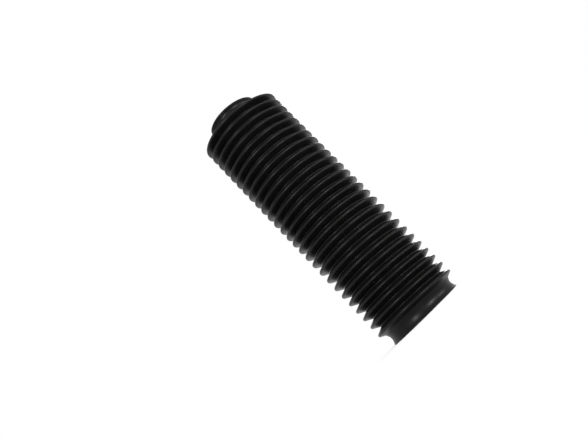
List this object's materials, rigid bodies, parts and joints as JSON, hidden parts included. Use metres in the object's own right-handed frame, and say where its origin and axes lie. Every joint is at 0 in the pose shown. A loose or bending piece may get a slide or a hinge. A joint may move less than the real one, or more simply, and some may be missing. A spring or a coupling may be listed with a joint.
{
  "type": "fork gaiter",
  "caption": "Black rubber bellows that sleeves a motorbike's telescopic fork, with a wide cuff for the slider and a smaller collar for the stanchion.",
  "frame": {"origin": "centre of the wide cuff's end face, which the gaiter stands on", "axes": "+Z along the gaiter's axis, from the wide cuff up to the small collar; X and Y are alike, because it is a solid of revolution"},
  "size_m": [0.07, 0.07, 0.2131],
  "materials": {
    "black_rubber": "moulded black rubber with a soft satin sheen"
  },
  "bodies": {
    "root": {"gaiter": "black_rubber"}
  },
  "joints": []
}
